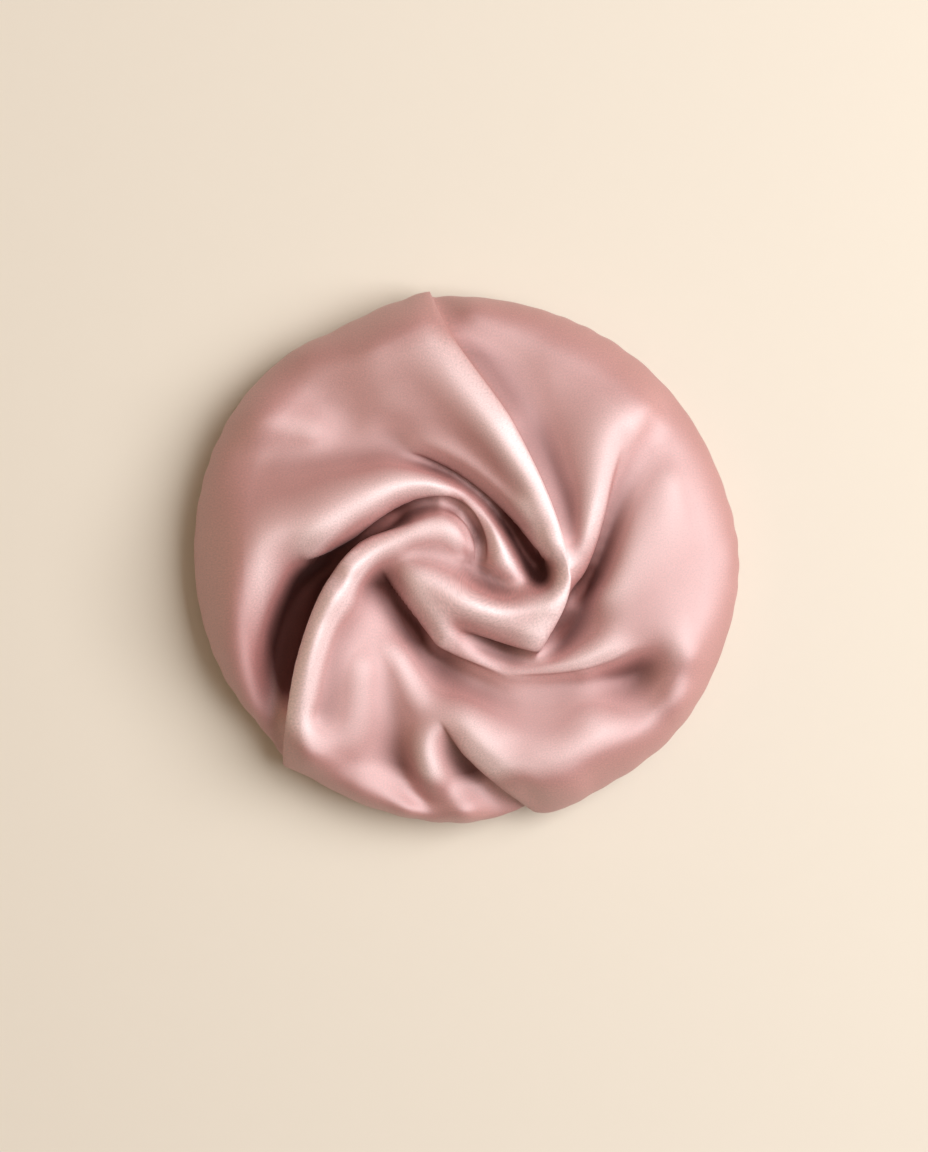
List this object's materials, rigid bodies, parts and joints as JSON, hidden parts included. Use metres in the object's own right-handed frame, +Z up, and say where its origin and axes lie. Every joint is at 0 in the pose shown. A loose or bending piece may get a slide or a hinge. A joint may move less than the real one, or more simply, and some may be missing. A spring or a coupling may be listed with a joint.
{
  "type": "sleep bonnet",
  "caption": "Round satin sleep bonnet lying crown up, its gathered cloth twisted into swirling folds over an elastic opening.",
  "frame": {"origin": "middle of the base, on the surface the bonnet lies on", "axes": "+Z up out of the crown, +X to the right and +Y to the top as seen from above"},
  "size_m": [0.2995, 0.2908, 0.0688],
  "materials": {
    "satin": "dusty rose satin, soft broad sheen",
    "casing_satin": "dusty rose satin, gathered over elastic"
  },
  "bodies": {
    "root": {"crown": "satin", "elastic_casing": "casing_satin"}
  },
  "joints": []
}
